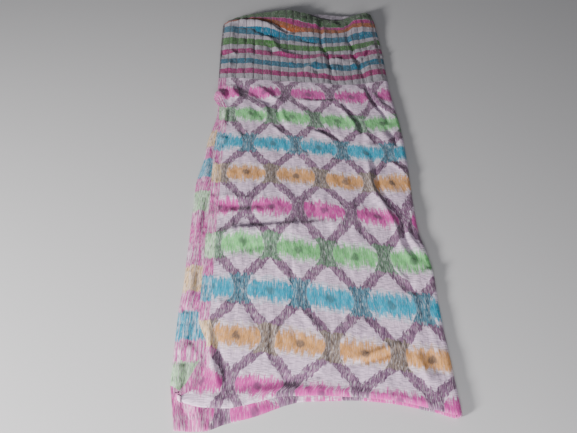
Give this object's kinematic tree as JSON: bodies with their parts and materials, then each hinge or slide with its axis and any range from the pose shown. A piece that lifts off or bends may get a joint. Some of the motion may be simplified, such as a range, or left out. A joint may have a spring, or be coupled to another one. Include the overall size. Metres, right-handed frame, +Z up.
{
  "type": "folded long scarf",
  "caption": "Long woven scarf lying folded across and lengthwise, with an ogee-lattice body, a cross-striped end with a lifted wavy edge, and a pale woven border.",
  "frame": {"origin": "on the floor, under the middle of the folded scarf", "axes": "+Y along the scarf from its cross folds to its woven ends, +X across to the lengthwise fold, +Z up"},
  "size_m": [0.4, 0.989, 0.024],
  "materials": {
    "pattern_cloth": "soft, slightly puckered plain weave with dyed warp pattern",
    "stripe_cloth": "soft, puckered plain weave with cross stripes and thin dark lengthwise threads",
    "border_cloth": "soft plain weave, pale dyed blocks",
    "inner_cloth": "soft plain weave"
  },
  "bodies": {
    "root": {"patterned_stretch": "pattern_cloth", "striped_end": "stripe_cloth", "upper_cross_fold": "pattern_cloth", "lower_cross_fold": "pattern_cloth", "lengthwise_fold": "pattern_cloth", "border_strip": "border_cloth", "under_layer": "inner_cloth", "hidden_layers": "inner_cloth"}
  },
  "joints": []
}
